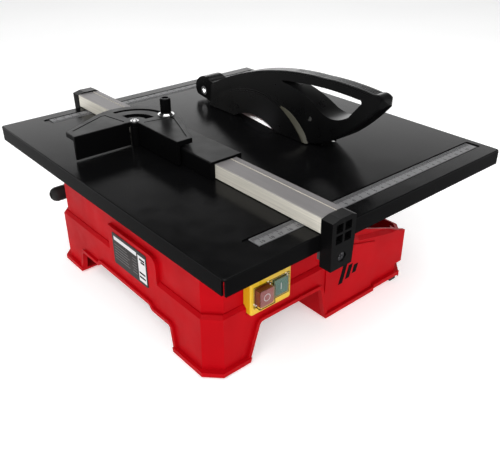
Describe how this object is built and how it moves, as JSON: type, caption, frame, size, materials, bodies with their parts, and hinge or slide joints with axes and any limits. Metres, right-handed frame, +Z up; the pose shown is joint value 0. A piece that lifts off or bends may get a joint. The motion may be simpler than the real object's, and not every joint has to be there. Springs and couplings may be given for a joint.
{
  "type": "wet tile saw",
  "caption": "Bench-top wet tile saw with red plastic base, black tilting steel table, lifting blade guard with loop handle, sliding fence and angle guide.",
  "frame": {"origin": "on the ground, under the middle of the table", "axes": "+Z up, +Y from the operator's side to the rear, +X to the operator's right, across the blade"},
  "size_m": [0.374, 0.44, 0.2331],
  "materials": {
    "red_plastic": "satin moulded plastic",
    "black_plastic": "fine-textured moulded plastic",
    "guard_black": "semi-gloss moulded plastic",
    "table_enamel": "satin stove enamel on sheet steel",
    "rail_aluminium": "anodised, brushed lengthways",
    "ruler_aluminium": "brushed, printed scale",
    "bright_steel": "machined",
    "zinc_steel": "zinc plated",
    "chrome": "polished",
    "blade_steel": "ground",
    "motor_cast": "as cast",
    "motor_paint": "matt black",
    "core_steel": "laminated",
    "yellow_plastic": "glossy",
    "stop_red": "glossy",
    "start_green": "glossy",
    "clear_boot": "clear soft vinyl",
    "feet_rubber": "matt",
    "plate_film": "laminated film"
  },
  "bodies": {
    "base": {"base_housing": "red_plastic", "rubber_feet": "feet_rubber", "drain_plug": "black_plastic", "rating_plate": "plate_film", "switch_frame": "yellow_plastic", "switch_body": "black_plastic", "switch_boot": "clear_boot", "cord_gland": "feet_rubber", "gland_nut": "black_plastic", "motor_housing": "motor_cast", "motor_front_bell": "motor_cast", "motor_rear_bell": "motor_cast", "motor_bearings": "bright_steel", "motor_stator": "core_steel", "motor_fan_cover": "motor_paint", "motor_cradle": "zinc_steel", "motor_bolts": "zinc_steel", "run_capacitor": "motor_paint", "capacitor_clip": "zinc_steel", "blade_case": "black_plastic", "case_mount_screws": "zinc_steel", "blade_case_cover": "black_plastic", "case_cover_screws": "zinc_steel", "splitter": "bright_steel", "splitter_bracket": "zinc_steel", "tilt_guide_bolts": "zinc_steel", "tilt_lock_nuts": "zinc_steel"},
    "spindle": {"arbor_shaft": "bright_steel", "motor_rotor": "core_steel", "motor_fan": "black_plastic", "inner_flange": "zinc_steel", "outer_flange": "zinc_steel", "arbor_nut": "zinc_steel", "diamond_blade": "blade_steel"},
    "guard": {"guard_left_shell": "guard_black", "guard_right_shell": "guard_black", "guard_screws": "zinc_steel", "guard_pivot_bolt": "chrome", "guard_pivot_nut": "zinc_steel"},
    "table": {"table_top": "table_enamel", "front_ruler": "ruler_aluminium", "rear_ruler": "ruler_aluminium", "front_quadrant": "zinc_steel", "rear_quadrant": "zinc_steel", "quadrant_rivets": "zinc_steel"},
    "front_lock": {"front_tilt_knob": "black_plastic"},
    "rear_lock": {"rear_tilt_knob": "black_plastic"},
    "fence": {"fence_rail": "rail_aluminium", "front_clamp": "black_plastic", "rear_clamp": "black_plastic", "clamp_jaws": "motor_paint", "clamp_screws": "motor_paint"},
    "guide": {"guide_block": "black_plastic", "guide_pivot_screw": "chrome"},
    "guide_arm": {"guide_head": "black_plastic"},
    "guide_clamp": {"guide_knob": "black_plastic", "guide_knob_washer": "chrome"},
    "start": {"start_button": "start_green"},
    "stop": {"stop_button": "stop_red"}
  },
  "joints": [
    {"name": "table_tilt", "type": "hinge", "parent": "base", "child": "table", "pos_m": [0.0395, 0, 0.16], "axis": [0, 1, 0], "range_deg": [0, 45]},
    {"name": "guard_lift", "type": "hinge", "parent": "base", "child": "guard", "pos_m": [0.061, 0.128, 0.1724], "axis": [-1, 0, 0], "range_deg": [0, 20]},
    {"name": "blade_spin", "type": "hinge", "parent": "base", "child": "spindle", "pos_m": [0, 0.008, 0.105], "axis": [1, 0, 0], "continuous": true},
    {"name": "front_lock_turn", "type": "hinge", "parent": "base", "child": "front_lock", "pos_m": [-0.01488, -0.15, 0.13464], "axis": [0, -1, 0], "range_deg": [0, 180]},
    {"name": "rear_lock_turn", "type": "hinge", "parent": "base", "child": "rear_lock", "pos_m": [-0.01488, 0.149, 0.13464], "axis": [0, 1, 0], "range_deg": [0, 180]},
    {"name": "fence_slide", "type": "slide", "parent": "table", "child": "fence", "axis": [1, 0, 0], "range_m": [-0.07, 0.036]},
    {"name": "guide_slide", "type": "slide", "parent": "fence", "child": "guide", "axis": [0, 1, 0], "range_m": [-0.13, 0.118]},
    {"name": "guide_angle", "type": "hinge", "parent": "guide", "child": "guide_arm", "pos_m": [-0.098, 0.0552, 0.184], "axis": [0, 0, 1], "range_deg": [-90, 0]},
    {"name": "guide_clamp_turn", "type": "hinge", "parent": "guide", "child": "guide_clamp", "pos_m": [-0.06185, 0.04947, 0.195], "axis": [0, 0, 1], "range_deg": [0, 180]},
    {"name": "start_press", "type": "slide", "parent": "base", "child": "start", "axis": [0, 1, 0], "range_m": [0, 0.003], "stiffness_N_per_m": 400, "springref_m": -0.002},
    {"name": "stop_press", "type": "slide", "parent": "base", "child": "stop", "axis": [0, 1, 0], "range_m": [0, 0.003], "stiffness_N_per_m": 400, "springref_m": -0.002}
  ]
}
